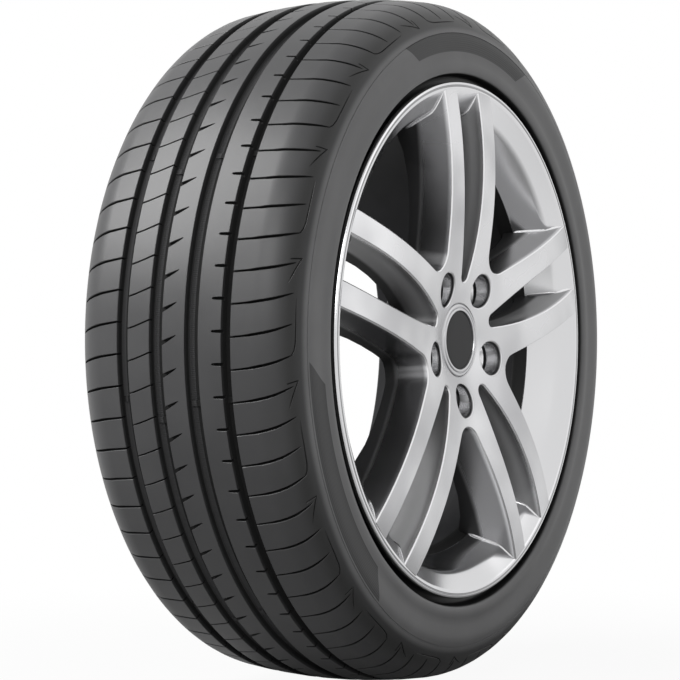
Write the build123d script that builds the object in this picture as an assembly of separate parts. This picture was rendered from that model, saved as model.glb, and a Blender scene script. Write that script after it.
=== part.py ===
from build123d import *
import os
from math import asin, cos, radians, sin, sqrt, tan

# A car tyre fitted on its cast alloy wheel. Sizes are in millimetres.
# The axle lies along Y, the street side faces -Y, +Z is up and the origin is the wheel's centre.

# Rim: where the tyre's two beads sit
bead_seat_diameter = 436.6
rim_width = 203.2
flange_height = 17.7
flange_depth = 11.1
seat_width = 21.6
seat_taper = 5.0
rim_wall = 5.5
lip_face = 6.5

# Drop well of the rim
well_depth = 18.8
well_start = -62.0
well_width = 28.0

# Tyre section
section_height = 98.85
tyre_width = 228.0
bead_width = 18.0
bead_height = 39.5
side_wall = 11.0
tread_thickness = 15.0
crown_radius = 489.0
tread_half_width = 77.2
shoulder_radius = 44.0
shoulder_end = 78.0
shoulder_chords = 3
protector_height = 11.0
protector_inset = 0.6
fit_clearance = 0.3

# Tread: four grooves run round the tyre, and one pitch of slots repeats all the way round
tread_pitch_count = 72
pitch_phase = -1.25
groove_depth = 7.8
groove_draft = 1.2
grooves = [(-52.9, 8.8), (-20.2, 13.4), (15.4, 13.4), (51.2, 11.8)]
slot_half_angle = 15.0
slot_depth = 6.0
slot_run_out = 7.0
outer_slot_turn = (-5.0, 4.2)
inner_slot_turn = (9.2, 0.6)
notch_depth = 5.5
notch_length = 14.6
notch_turn = (-10.4, -3.0)

# Spokes: five pairs, bowed outwards along their length
spoke_pair_count = 5
face_crest = 7.5
crest_radius = 150.0
bow_radius = 422.0
face_chords = 4
spoke_depth = 46.0
spoke_back = 90.0
spoke_root = 1.4
window_apex = 66.7
window_lean = 34.2
window_corner = 18.0
window_focus = 170.0
slit_start = 60.0
slit_root = 6.7
slit_end = 20.6
slit_chords = 4
slit_focus = 140.0
corner_chords = 4
draft_shrink = 0.89

# Hub: dished front, pad against the car, bolt holes and centre bore
wheel_offset = 60.0
pad_reach = 61.0
hub_land = 36.0
hub_reach = 66.0
cap_recess = 3.8
bolt_circle = 112.0
bolt_hole_diameter = 15.0
bolt_pocket_diameter = 30.0
bolt_seat_thickness = 14.0
centre_bore_diameter = 66.6
centre_bore_length = 18.5
relief_diameter = 70.0
relief_length = 5.5
cap_bore_diameter = 60.0

# Centre cap: a bezel round a sunk face, held by clips behind the bore's ledge
cap_diameter = 67.0
cap_thickness = 4.4
cap_face_diameter = 54.0
cap_face_depth = 1.0
clip_count = 5
clip_width = 12.0
clip_thickness = 2.4
clip_hook = 1.6
clip_hook_length = 3.6

# How far a cutter passes the face it opens
overshoot = 1.0

# Radii and planes that follow from the sizes above
seat_r = bead_seat_diameter / 2
flange_r = seat_r + flange_height
lip_r = flange_r - lip_face
well_r = seat_r - well_depth
neck_r = well_r - rim_wall
rim_half = rim_width / 2
seat_end = rim_half - seat_width
seat_end_r = seat_r - seat_width * tan(radians(seat_taper))
lip_y = rim_half + flange_depth
tyre_r = seat_r + section_height
tyre_half = tyre_width / 2
pad_y = -wheel_offset
ledge_y = pad_y - centre_bore_length - relief_length
pair_angle = 360 / spoke_pair_count
face_front = -(lip_y + face_crest)
AXLE_SECTION = Plane(origin=(0, 0, 0), x_dir=(0, 1, 0), z_dir=(1, 0, 0))


def section(points):
    """A face in the half plane above the axle, from (along the axle, radius) points."""
    return AXLE_SECTION * make_face(Polyline(*points, close=True))


def turned(points):
    """A solid turned about the axle."""
    return revolve(section(points), Axis.Y, 360)


def around(solid, count, first=0.0):
    """Copies of a solid, evenly turned about the axle."""
    return [solid.rotate(Axis.Y, -first - 360 / count * k) for k in range(count)]


def slice_of(points, count):
    """One of the equal slices, flat across, that close into a ring of a section."""
    reach = 2 * tyre_r
    half = reach * tan(radians(180 / count))
    sector = make_face(Polyline((0, 0, 0), (half, 0, reach), (-half, 0, reach), close=True))
    return extrude(section(points), half, both=True) & extrude(sector, reach, both=True, dir=(0, 1, 0))


def closed(slices):
    """A ring joined from its slices."""
    return slices[0].fuse(*slices[1:], glue=True)


def ring(points, cutters=()):
    """A ring with one flat for each tread pitch, and the same cutters in every pitch."""
    pitch = slice_of(points, tread_pitch_count)
    for cutter in cutters:
        pitch -= cutter
    return closed(around(pitch, tread_pitch_count, pitch_phase))


def crown(y):
    """Radius of the tread's crown at a place along the axle."""
    return tyre_r - crown_radius + sqrt(crown_radius**2 - y**2)


def shoulder_points():
    """Chords of the round shoulder, from the tread's edge down to the sidewall."""
    centre_y = tyre_half - shoulder_radius
    rise = sqrt(shoulder_radius**2 - (tread_half_width - centre_y) ** 2)
    centre_r = crown(tread_half_width) - rise
    start = asin((tread_half_width - centre_y) / shoulder_radius)
    turn = (radians(shoulder_end) - start) / shoulder_chords
    angles = [start + turn * k for k in range(1, shoulder_chords + 1)]
    return [(centre_y + shoulder_radius * sin(a), centre_r + shoulder_radius * cos(a)) for a in angles]


def tyre_side():
    """One side of the tyre's section: shoulder, rim protector, bead and inner liner."""
    bead_y = rim_half - fit_clearance
    heel_r = seat_r + fit_clearance
    toe_r = heel_r - bead_width * tan(radians(seat_taper))
    bead = [
        (tyre_half - protector_inset, flange_r + protector_height),
        (bead_y, flange_r + fit_clearance),
        (bead_y, heel_r),
        (bead_y - bead_width, toe_r),
    ]
    liner = [
        (tyre_half - side_wall, seat_r + bead_height),
        (tread_half_width + side_wall, crown(tread_half_width) - tread_thickness),
    ]
    return shoulder_points() + bead + liner


def tread_line():
    """The tread's outline across the tyre, with its grooves."""
    line = [(-tread_half_width, crown(tread_half_width))]
    for middle, width in grooves:
        left = middle - width / 2
        right = middle + width / 2
        floor = crown(middle) - groove_depth
        line += [(left, crown(left)), (left + groove_draft, floor)]
        line += [(right - groove_draft, floor), (right, crown(right))]
    return line + [(tread_half_width, crown(tread_half_width))]


def slot(start, end, turn):
    """A V-shaped cutter, its bottom edge between two (along the axle, radius) points and its place in the turn."""
    first = Vector(turn[0], *start)
    run = Vector(turn[1], *end) - first
    opening = 4 * slot_depth
    half = opening * tan(radians(slot_half_angle))
    wedge = make_face(Polyline((0, 0), (half, -opening), (-half, -opening), close=True))
    return extrude(Plane(origin=first, x_dir=run.cross(Vector(0, 0, 1)), z_dir=run) * wedge, run.length)


def tyre():
    """The tyre, built one tread pitch at a time as its mould is, and closed into a ring."""
    side = tyre_side()
    outline = tread_line() + side + [(-y, r) for y, r in reversed(side)]
    outer_y = grooves[0][0]
    inner_y = grooves[-1][0]
    notch_y = grooves[2][0] - grooves[2][1] / 4
    tip_y = notch_y - notch_length
    run_out_r = shoulder_points()[0][1] - slot_depth
    edge_y = tyre_half - slot_run_out
    slots = [
        slot((outer_y, crown(outer_y) - slot_depth), (-edge_y, run_out_r), outer_slot_turn),
        slot((inner_y, crown(inner_y) - slot_depth), (edge_y, run_out_r), inner_slot_turn),
        slot((notch_y, crown(notch_y) - notch_depth), (tip_y, crown(tip_y)), notch_turn),
    ]
    return ring(outline, slots)


def rim():
    """The rim: lips, flanges, bead seats, drop well and open barrel."""
    outside = [
        (-lip_y, flange_r),
        (-rim_half, seat_r),
        (-seat_end, seat_end_r),
        (well_start, well_r),
        (well_start + well_width, well_r),
        (seat_end, seat_end_r),
        (rim_half, seat_r),
        (lip_y, flange_r),
    ]
    inside = [
        (lip_y, lip_r),
        (rim_half, seat_r - rim_wall),
        (well_start + well_width, neck_r),
        (well_start - rim_wall / 2, neck_r),
        (-rim_half, seat_r - rim_wall),
        (-lip_y, lip_r),
    ]
    return ring(outside + inside)


def face_y(s):
    """Place along the axle of the bowed spoke face, at a distance from the centre along its pair."""
    return (s - crest_radius) ** 2 / (2 * bow_radius) + face_front


def cap_seat():
    """Place along the axle of the sunk land that the centre cap sits on."""
    return face_y(hub_land) + cap_recess


def rounded(centre, radius, spread):
    """Chords of a round corner, as (outwards, sideways) points."""
    angles = [radians(spread) * (2 * k / corner_chords - 1) for k in range(corner_chords + 1)]
    return [(centre - radius * cos(a), radius * sin(a)) for a in angles]


def drafted(outline, focus):
    """A cutter with sloping sides: an outline in front of the spokes that shrinks towards a focus behind them."""
    near = face_front - overshoot
    front = [Vector(x, near, z) for x, z in outline]
    back = [Vector(focus + (x - focus) * draft_shrink, pad_y, z * draft_shrink) for x, z in outline]
    faces = [Face(Wire.make_polygon(front)), Face(Wire.make_polygon(back))]
    for k in range(len(outline)):
        faces.append(Face(Wire.make_polygon([front[k - 1], front[k], back[k], back[k - 1]])))
    return Solid(Shell(faces))


def spider():
    """Hub and spokes: five bowed slices, with the wide windows and the narrow slits cut through them."""
    inner = cap_bore_diameter / 4
    reach = flange_r
    step = (reach - hub_reach) / face_chords
    bow = [hub_reach + step * k for k in range(1, face_chords + 1)]
    front = [(face_y(hub_land), inner)] + [(face_y(s), s) for s in [hub_land, hub_reach] + bow]
    back = [
        (well_start - rim_wall / 2, reach),
        (face_front + spoke_depth, spoke_back),
        (pad_y, pad_reach),
        (pad_y, inner),
    ]
    blank = closed(around(slice_of(front + back, spoke_pair_count), spoke_pair_count))
    inside_rim = [
        (face_front - overshoot, inner / 2),
        (face_front - overshoot, lip_r + spoke_root),
        (-lip_y, lip_r + spoke_root),
        (-rim_half, seat_r - rim_wall + spoke_root),
        (well_start, neck_r + spoke_root),
        (pad_y + overshoot, neck_r + spoke_root),
        (pad_y + overshoot, inner / 2),
    ]
    blank &= ring(inside_rim)
    spread = (reach - window_apex) * tan(radians(window_lean))
    centre = window_apex + window_corner / sin(radians(window_lean))
    window = rounded(centre, window_corner, 90 - window_lean) + [(reach, spread), (reach, -spread)]
    length = reach - slit_start
    stations = [k / slit_chords for k in range(1, slit_chords + 1)]
    side = [(slit_start + length * k, slit_end - (slit_end - slit_root) * (1 - k) ** 3) for k in stations]
    slit = rounded(slit_start, slit_root, 90) + side + [(s, -t) for s, t in reversed(side)]
    cutters = around(drafted(slit, slit_focus), spoke_pair_count, 90)
    cutters += around(drafted(window, window_focus), spoke_pair_count, 90 + pair_angle / 2)
    return blank - cutters


def alloy_wheel():
    """Rim and spider in one casting, bored for the hub, the cap and the bolts."""
    pocket = bolt_pocket_diameter / 2
    hole = bolt_hole_diameter / 2
    seat_y = pad_y - bolt_seat_thickness
    before = face_front - overshoot
    behind = pad_y + overshoot
    bolt = turned([(before, 0), (before, pocket), (seat_y, pocket), (seat_y, hole), (behind, hole), (behind, 0)])
    bolts = around(Pos(bolt_circle / 2, 0, 0) * bolt, spoke_pair_count, 90 + pair_angle / 2)
    bore = centre_bore_diameter / 2
    cap_bore = cap_bore_diameter / 2
    recess = cap_diameter / 2 + fit_clearance
    hollow = [(before, 0), (before, recess), (cap_seat(), recess), (cap_seat(), cap_bore)]
    hollow += [(ledge_y, cap_bore), (ledge_y, relief_diameter / 2)]
    hollow += [(ledge_y + relief_length, bore), (behind, bore), (behind, 0)]
    return rim() + spider() - bolts - turned(hollow)


def centre_cap():
    """The moulded cap: a bezel round its sunk face, with clips that hook behind the bore's ledge."""
    front = cap_seat() - cap_thickness
    face = cap_face_diameter / 2
    rim_r = cap_diameter / 2
    seat = cap_seat() - fit_clearance / 2
    sunk = front + cap_face_depth
    cap = turned([(seat, 0), (seat, rim_r), (front, rim_r), (front, face), (sunk, face), (sunk, 0)])
    outer = sqrt((cap_bore_diameter / 2 - fit_clearance) ** 2 - (clip_width / 2) ** 2)
    inner = outer - clip_thickness
    catch = ledge_y + fit_clearance
    end = catch + clip_hook_length
    clip = [(seat, inner), (seat, outer), (catch, outer), (catch, outer + clip_hook), (end, outer), (end, inner)]
    clips = around(extrude(section(clip), clip_width / 2, both=True), clip_count)
    return cap + clips


os.makedirs("parts", exist_ok=True)
export_step(tyre(), "parts/tyre.step")
export_step(alloy_wheel(), "parts/alloy_wheel.step")
export_step(centre_cap(), "parts/centre_cap.step")
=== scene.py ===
import bmesh
import bpy
from math import asin, atan2, cos, hypot, pi, radians, sin, sqrt, tan
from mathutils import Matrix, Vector


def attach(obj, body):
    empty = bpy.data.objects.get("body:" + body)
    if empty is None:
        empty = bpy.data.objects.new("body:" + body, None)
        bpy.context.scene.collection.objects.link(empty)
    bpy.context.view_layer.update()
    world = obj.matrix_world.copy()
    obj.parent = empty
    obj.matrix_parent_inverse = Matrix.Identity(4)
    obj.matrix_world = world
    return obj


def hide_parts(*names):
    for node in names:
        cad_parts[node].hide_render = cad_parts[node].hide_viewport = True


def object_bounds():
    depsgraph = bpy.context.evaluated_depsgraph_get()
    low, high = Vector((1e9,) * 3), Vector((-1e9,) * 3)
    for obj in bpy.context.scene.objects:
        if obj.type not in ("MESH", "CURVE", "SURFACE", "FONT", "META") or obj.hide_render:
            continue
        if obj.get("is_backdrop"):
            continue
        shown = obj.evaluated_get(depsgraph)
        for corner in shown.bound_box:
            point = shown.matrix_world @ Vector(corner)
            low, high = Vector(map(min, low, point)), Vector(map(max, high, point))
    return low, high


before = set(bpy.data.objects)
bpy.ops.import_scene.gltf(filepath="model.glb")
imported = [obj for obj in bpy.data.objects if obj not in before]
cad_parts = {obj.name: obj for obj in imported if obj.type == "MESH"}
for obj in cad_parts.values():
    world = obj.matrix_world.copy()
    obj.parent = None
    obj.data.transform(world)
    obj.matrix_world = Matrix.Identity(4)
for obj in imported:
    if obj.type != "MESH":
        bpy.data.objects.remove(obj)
cad_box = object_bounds()

# Stage: a plain white floor under the tyre's tread and plain white surroundings. Both look white to the
# camera and in reflections, and light the wheel at a plain level. Near the wheel the floor keeps its shadow,
# which is faint to the camera and strong in reflections.
MM = 0.001
WHITE = (1.0, 1.0, 1.0, 1.0)
SKY_LIGHT = 0.44
FLOOR_Z = -317.4 * MM
FLOOR_SIZE = 12.0
FLOOR_COLOUR = (0.36, 0.36, 0.36, 1.0)
FLOOR_ROUGHNESS = 0.9
SHADOW_SEEN, SHADOW_MIRRORED = 0.06, 0.95
SHADOW_NEAR, SHADOW_FAR = 0.25, 1.0


class Shade:
    """A socket of a material, worked with as in plain arithmetic."""

    def __init__(self, tree, socket=None):
        self.tree = tree
        self.socket = socket

    def node(self, kind, settings=None, inputs=None, output=0):
        """Any node by its type, with its settings and the values or links of its sockets."""
        made = self.tree.nodes.new(kind)
        for name, value in (settings or {}).items():
            setattr(made, name, value)
        for name, value in (inputs or {}).items():
            if isinstance(value, Shade):
                self.tree.links.new(value.socket, made.inputs[name])
            else:
                made.inputs[name].default_value = value
        return Shade(self.tree, made.outputs[output])

    def maths(self, operation, *values):
        return self.node("ShaderNodeMath", {"operation": operation}, dict(enumerate(values)))

    def __add__(self, other):
        return self.maths("ADD", self, other)

    def __radd__(self, other):
        return self.maths("ADD", other, self)

    def __sub__(self, other):
        return self.maths("SUBTRACT", self, other)

    def __rsub__(self, other):
        return self.maths("SUBTRACT", other, self)

    def __mul__(self, other):
        return self.maths("MULTIPLY", self, other)

    def __rmul__(self, other):
        return self.maths("MULTIPLY", other, self)

    def __abs__(self):
        return self.maths("ABSOLUTE", self)

    def step(self, low, high):
        """0 below low and 1 above high, smooth between them."""
        settings = {"interpolation_type": "SMOOTHSTEP"}
        return self.node("ShaderNodeMapRange", settings, {"Value": self, "From Min": low, "From Max": high})

    def band(self, low, high, soft):
        """1 between low and high, with soft edges."""
        return self.step(low - soft, low + soft) * (1.0 - self.step(high - soft, high + soft))

    def blend(self, low, high):
        """Goes from one colour to another as this value goes from 0 to 1."""
        return self.node("ShaderNodeMix", {"data_type": "RGBA"}, {0: self, 6: low, 7: high}, 2)


def white_to_the_eye(tree):
    """1 for what the camera sees straight, in a reflection or through a clear piece."""
    path = Shade(tree).node("ShaderNodeLightPath", output="Is Camera Ray")
    outputs = path.socket.node.outputs
    for name in ("Is Glossy Ray", "Is Transmission Ray"):
        path = path.maths("MAXIMUM", path, Shade(tree, outputs[name]))
    return path


sky = bpy.data.worlds.new("sky")
bpy.context.scene.world = sky
sky.use_nodes = True
tree = sky.node_tree
strength = white_to_the_eye(tree) * (1.0 - SKY_LIGHT) + SKY_LIGHT
tree.links.new(strength.socket, tree.nodes["Background"].inputs["Strength"])
tree.nodes["Background"].inputs["Color"].default_value = WHITE

bpy.ops.object.select_all(action="DESELECT")
bpy.ops.mesh.primitive_plane_add(size=FLOOR_SIZE, location=(0.0, 0.0, FLOOR_Z))
floor = bpy.context.object
floor.name = "floor"
paper = bpy.data.materials.new("white_paper")
paper.use_nodes = True
tree = paper.node_tree
matt = tree.nodes["Principled BSDF"]
matt.inputs["Base Color"].default_value = FLOOR_COLOUR
matt.inputs["Roughness"].default_value = FLOOR_ROUGHNESS
matt.inputs["Specular IOR Level"].default_value = 0.0
start = Shade(tree)
bright = start.node("ShaderNodeEmission", None, {"Color": WHITE, "Strength": 1.0})
spot = start.node("ShaderNodeTexCoord", output="Object")
from_wheel = start.node("ShaderNodeVectorMath", {"operation": "LENGTH"}, {0: spot}, 1)
mirrored = start.node("ShaderNodeLightPath", output="Is Glossy Ray")
darkness = SHADOW_SEEN + mirrored * (SHADOW_MIRRORED - SHADOW_SEEN)
shadow = darkness * (1.0 - from_wheel.step(SHADOW_NEAR, SHADOW_FAR))
seen = white_to_the_eye(tree) * (1.0 - shadow)
shown = start.node("ShaderNodeMixShader", None, {0: seen, 1: Shade(tree, matt.outputs[0]), 2: bright})
tree.links.new(shown.socket, tree.nodes["Material Output"].inputs["Surface"])
floor.data.materials.append(paper)
floor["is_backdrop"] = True

# Lights and camera: a broad soft light over the tread from the car's side, a smaller one in front,
# a weak fill on the street side, and a long lens at axle height.
LIGHTS = [
    ("car_side_softbox", (-1.65, 1.5, 1.85), 2.1, 145.0),
    ("front_softbox", (-2.4, -0.6, 1.2), 1.3, 26.0),
    ("street_fill", (1.9, -2.3, 0.9), 1.6, 4.0),
]
for name, place, size, power in LIGHTS:
    bpy.ops.object.light_add(type="AREA", location=place)
    lamp = bpy.context.object
    lamp.name = name
    lamp.data.size = size
    lamp.data.energy = power
    lamp.rotation_euler = (-Vector(place)).to_track_quat("-Z", "Y").to_euler()

CAMERA_PLACE = (-2.0771, -1.2124, 0.0)
CAMERA_TURNS = (radians(90.0), 0.0, radians(-59.242))
CAMERA_LENS, CAMERA_SENSOR = 135.25, 36.0
bpy.ops.object.camera_add(location=CAMERA_PLACE, rotation=CAMERA_TURNS)
camera = bpy.context.object
camera.data.lens = CAMERA_LENS
camera.data.sensor_width = CAMERA_SENSOR
bpy.context.scene.camera = camera
bpy.context.scene.view_settings.view_transform = "Standard"

# Tyre: one piece of black rubber, cured in a mould whose tread segments repeat pitch by pitch.
# Four grooves run round the tread, and each pitch has shoulder slots, a sipe and two notches.
# Every fourth pitch also has a hooked line and a long fine line on the street-side shoulder.
TYRE_RADIUS = 317.15
CROWN_RADIUS = 489.0
TREAD_EDGE = 77.2
SHOULDER_RADIUS = 44.0
TYRE_SIDE = 114.0
SHOULDER_PLACE = TYRE_SIDE - SHOULDER_RADIUS
PITCHES = 72
PITCH = 2.0 * pi / PITCHES
PITCH_STEPS = 5
PITCH_PHASE = radians(1.25)
GROUP = 4
GROOVES = [(-52.9, 8.8), (-20.2, 13.4), (15.4, 13.4), (51.2, 11.8)]
GROOVE_DEPTH = 7.8


def crown(y):
    """Radius of the tread at a place along the axle."""
    return TYRE_RADIUS - CROWN_RADIUS + sqrt(CROWN_RADIUS**2 - y**2)


SHOULDER_CENTRE = crown(TREAD_EDGE) - sqrt(SHOULDER_RADIUS**2 - (TREAD_EDGE - SHOULDER_PLACE) ** 2)


def tread_skin(y):
    """Radius and lean of the tread or shoulder at a place along the axle."""
    reach = abs(y)
    if reach <= TREAD_EDGE:
        return crown(y), asin(y / CROWN_RADIUS)
    lean = asin(min((reach - SHOULDER_PLACE) / SHOULDER_RADIUS, 1.0))
    return SHOULDER_CENTRE + SHOULDER_RADIUS * cos(lean), lean if y > 0.0 else -lean


def on_tyre(y, turn, lift=0.0, along=0.0, across=0.0):
    """A point off the tread or shoulder: lifted from it, and moved along and across the tread."""
    radius, lean = tread_skin(y)
    y = y + lift * sin(lean) + across * cos(lean)
    radius = radius + lift * cos(lean) - across * sin(lean)
    turn = turn + along / radius
    return Vector((radius * sin(turn), y, radius * cos(turn))) * MM


def to_object_mode():
    if bpy.context.object and bpy.context.object.mode != "OBJECT":
        bpy.ops.object.mode_set(mode="OBJECT")


def edit(piece):
    """Makes one piece the only one selected, in edit mode with all of it selected."""
    to_object_mode()
    bpy.ops.object.select_all(action="DESELECT")
    bpy.context.view_layer.objects.active = piece
    piece.select_set(True)
    bpy.ops.object.mode_set(mode="EDIT")
    bpy.ops.mesh.select_all(action="SELECT")


def pick(piece, kind, test):
    """Selects the faces, edges or vertices of a piece that pass a test, and nothing else."""
    bpy.ops.mesh.select_mode(type={"faces": "FACE", "edges": "EDGE", "verts": "VERT"}[kind])
    bpy.ops.mesh.select_all(action="DESELECT")
    shape = bmesh.from_edit_mesh(piece.data)
    for part in getattr(shape, kind):
        if test(part):
            part.select_set(True)
    shape.select_flush_mode()
    bmesh.update_edit_mesh(piece.data)


def draw(name, points, closed=True):
    """A line pushed out point by point from one vertex, and joined up at its end."""
    to_object_mode()
    bpy.ops.object.select_all(action="DESELECT")
    bpy.ops.mesh.primitive_plane_add(size=MM, location=points[0])
    piece = bpy.context.object
    piece.name = name
    bpy.ops.object.transform_apply(location=True)
    bpy.ops.object.mode_set(mode="EDIT")
    bpy.ops.mesh.select_mode(type="VERT")
    bpy.ops.mesh.merge(type="CENTER")
    for start, end in zip(points, points[1:]):
        bpy.ops.mesh.extrude_region_move(TRANSFORM_OT_translate={"value": end - start})
    if closed:
        pick(piece, "verts", lambda vert: len(vert.link_edges) == 1)
        bpy.ops.mesh.edge_face_add()
    bpy.ops.mesh.select_all(action="SELECT")
    return piece


def loft(name, rings):
    """A closed solid pushed out from one outline to the next."""
    piece = draw(name, rings[0])
    bpy.ops.mesh.edge_face_add()
    for ring, onward in zip(rings, rings[1:]):
        bpy.ops.mesh.extrude_region_move()
        shape = bmesh.from_edit_mesh(piece.data)
        for vert in [vert for vert in shape.verts if vert.select]:
            nearest = min(range(len(ring)), key=lambda k: (ring[k] - vert.co).length_squared)
            vert.co = onward[nearest]
        bmesh.update_edit_mesh(piece.data)
    bpy.ops.mesh.select_all(action="SELECT")
    bpy.ops.mesh.normals_make_consistent(inside=False)
    return piece


def join(pieces):
    """One object of several."""
    to_object_mode()
    bpy.ops.object.select_all(action="DESELECT")
    for piece in pieces:
        piece.select_set(True)
    bpy.context.view_layer.objects.active = pieces[0]
    bpy.ops.object.join()
    return pieces[0]


def cut(piece, tool, operation="DIFFERENCE"):
    """Cuts a piece with a tool shape, which is used up."""
    to_object_mode()
    bpy.ops.object.select_all(action="DESELECT")
    bpy.context.view_layer.objects.active = piece
    piece.select_set(True)
    saw = piece.modifiers.new("saw", "BOOLEAN")
    saw.operation = operation
    saw.solver = "EXACT"
    saw.object = tool
    bpy.ops.object.modifier_apply(modifier=saw.name)
    bpy.data.objects.remove(tool)


PITCH_WELD = 0.02 * MM
END_SLACK = 1e-5


def spin_copies(piece, count, step):
    """Copies of the whole mesh about the axle, one step apart and welded."""
    edit(piece)
    turn = step * (count - 1)
    bpy.ops.mesh.spin(steps=count - 1, angle=turn, dupli=True, center=(0, 0, 0), axis=(0, -1, 0))
    bpy.ops.mesh.select_all(action="SELECT")
    bpy.ops.mesh.remove_doubles(threshold=PITCH_WELD)
    bpy.ops.mesh.normals_make_consistent(inside=False)


def open_ends(piece, turns):
    """Takes away the flat ends that close a slice of the tyre while it is cut."""
    edit(piece)

    def is_end(face):
        spots = [atan2(vert.co.x, vert.co.z) for vert in face.verts]
        return any(all(abs(spot - turn) < END_SLACK for spot in spots) for turn in turns)

    pick(piece, "faces", is_end)
    bpy.ops.mesh.delete(type="ONLY_FACE")


SLOT_BREAK = 0.3
SLOT_RISE = 2.0


def slot_tool(name, stations):
    """The tool for a slot: place along the axle, turn in degrees, width and depth of each station."""
    rings = []
    last = len(stations) - 1
    for k, (y, turn, width, depth) in enumerate(stations):
        radius, lean = tread_skin(y)
        before, after = stations[max(k - 1, 0)], stations[min(k + 1, last)]
        along, across = radius * radians(after[1] - before[1]), (after[0] - before[0]) / cos(lean)
        length = hypot(along, across)
        half = width / 2.0
        flare = half + SLOT_BREAK + SLOT_RISE
        corners = [(-half, -depth), (-half, -SLOT_BREAK), (-flare, SLOT_RISE)]
        corners += [(-side, lift) for side, lift in reversed(corners)]
        spots = [(lift, side * across / length, -side * along / length) for side, lift in corners]
        rings.append([on_tyre(y, radians(turn), *spot) for spot in spots])
    return loft(name, rings)


GROOVE_EDGE = [(-0.45, 0.0), (0.0, -0.35)]
GROOVE_WALL = [(0.7, 1.8), (1.1, 0.6), (2.2, 0.0)]


def groove_lines(centre, width):
    """One groove round the tread, from edge to edge: broken edges, steep walls and a rounded floor."""
    low, high = centre - width / 2.0, centre + width / 2.0
    bottom = crown(centre) - GROOVE_DEPTH
    line = [(low + step, crown(low) + rise) for step, rise in GROOVE_EDGE]
    line += [(low + step, bottom + rise) for step, rise in GROOVE_WALL]
    line += [(high - step, bottom + rise) for step, rise in reversed(GROOVE_WALL)]
    return line + [(high - step, crown(high) + rise) for step, rise in reversed(GROOVE_EDGE)]


SHOULDER_STEPS = 9
SHOULDER_TURN = radians(72.0)
SIDE_LINES = [
    (111.44, 280.83), (111.6, 280.31), (112.14, 280.24), (112.78, 277.87), (113.33, 275.24), (113.4, 272.0),
    (113.3, 268.0), (112.9, 262.0), (112.9, 257.5), (113.5, 254.6), (113.9, 251.2), (113.9, 248.4),
    (113.5, 246.0), (112.7, 244.6), (111.2, 243.9), (106.6, 243.5), (103.6, 242.6), (102.2, 240.8),
    (101.4, 237.4), (101.3, 219.4), (100.4, 218.5), (83.4, 217.0), (82.6, 218.4), (93.0, 236.0),
    (103.0, 257.8), (99.5, 283.0), (88.0, 297.0),
]
tread_edge_lean = asin((TREAD_EDGE - SHOULDER_PLACE) / SHOULDER_RADIUS)
side = [(TREAD_EDGE, crown(TREAD_EDGE))]
for k in range(1, SHOULDER_STEPS + 1):
    lean = tread_edge_lean + (SHOULDER_TURN - tread_edge_lean) * k / SHOULDER_STEPS
    side.append((SHOULDER_PLACE + SHOULDER_RADIUS * sin(lean), SHOULDER_CENTRE + SHOULDER_RADIUS * cos(lean)))
side += SIDE_LINES
tread = [line for centre, width in GROOVES for line in groove_lines(centre, width)]
outline = tread + side + [(-y, radius) for y, radius in reversed(side)]
first = -PITCH / 2.0
tyre = draw("moulded_tyre", [Vector((r * sin(first), y, r * cos(first))) * MM for y, r in outline])
bpy.ops.mesh.spin(steps=PITCH_STEPS, angle=PITCH, center=(0, 0, 0), axis=(0, -1, 0))
bpy.ops.mesh.select_all(action="SELECT")
bpy.ops.mesh.fill_holes(sides=0)
bpy.ops.mesh.normals_make_consistent(inside=False)

PITCH_SLOTS = {
    "street_slot": [
        (-55.0, -0.90, 1.6, 5.5), (-57.3, -0.85, 1.6, 5.5), (-64.0, -0.73, 1.6, 5.5),
        (-70.0, -0.62, 1.7, 5.5), (-73.75, -0.55, 2.1, 5.5), (-80.0, -0.36, 2.3, 5.2),
        (-86.25, -0.15, 2.3, 4.8), (-92.0, 0.12, 2.3, 4.2), (-95.6, 0.35, 2.1, 3.4),
        (-100.0, 0.72, 1.7, 2.4), (-103.5, 1.08, 1.1, 1.4), (-105.5, 1.30, 0.4, 0.3),
    ],
    "car_slot": [
        (55.5, 1.62, 1.7, 5.5), (57.1, 1.58, 1.7, 5.5), (66.0, 1.38, 1.9, 5.5), (76.0, 1.15, 2.1, 5.2),
        (86.0, 0.78, 2.1, 4.6), (95.0, 0.38, 1.8, 3.4), (101.0, 0.05, 1.4, 2.0), (105.5, -0.20, 0.4, 0.3),
    ],
    "rib_sipe": [
        (47.0, 0.42, 1.3, 4.5), (45.25, 0.50, 1.3, 4.5), (38.0, 0.86, 1.3, 4.5), (30.0, 1.35, 1.3, 4.5),
        (22.1, 1.85, 1.3, 4.5), (20.5, 1.95, 1.3, 4.5),
    ],
    "middle_notch": [
        (10.5, -1.84, 3.6, 5.0), (8.6, -1.70, 3.4, 5.0), (4.0, -1.32, 2.8, 4.6), (-1.0, -0.90, 1.8, 4.0),
        (-4.0, -0.64, 0.9, 3.0), (-5.4, -0.52, 0.2, 2.0),
    ],
    "street_notch": [
        (-50.5, 0.06, 2.8, 4.5), (-48.5, 0.05, 2.7, 4.5), (-44.0, 0.05, 2.5, 4.0), (-40.6, 0.05, 2.0, 3.5),
        (-39.4, 0.05, 0.9, 2.5),
    ],
}
GROUP_LINES = {
    "hook_bar": [(-101.8, 1.72, 0.9, 0.7), (-104.8, 1.92, 0.9, 0.8), (-107.6, 2.10, 0.9, 0.7)],
    "hook_stroke": [
        (-108.0, 2.22, 0.8, 0.7), (-105.9, 0.70, 0.8, 0.8), (-103.8, -0.80, 0.8, 0.8),
        (-101.8, -2.20, 0.4, 0.3),
    ],
    "long_line": [
        (-105.0, 6.25, 0.9, 0.8), (-106.3, 7.00, 0.9, 0.8), (-107.0, 8.20, 0.9, 0.8),
        (-107.2, 11.0, 0.8, 0.7), (-107.1, 13.5, 0.7, 0.6), (-106.9, 15.6, 0.3, 0.2),
    ],
}
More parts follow.
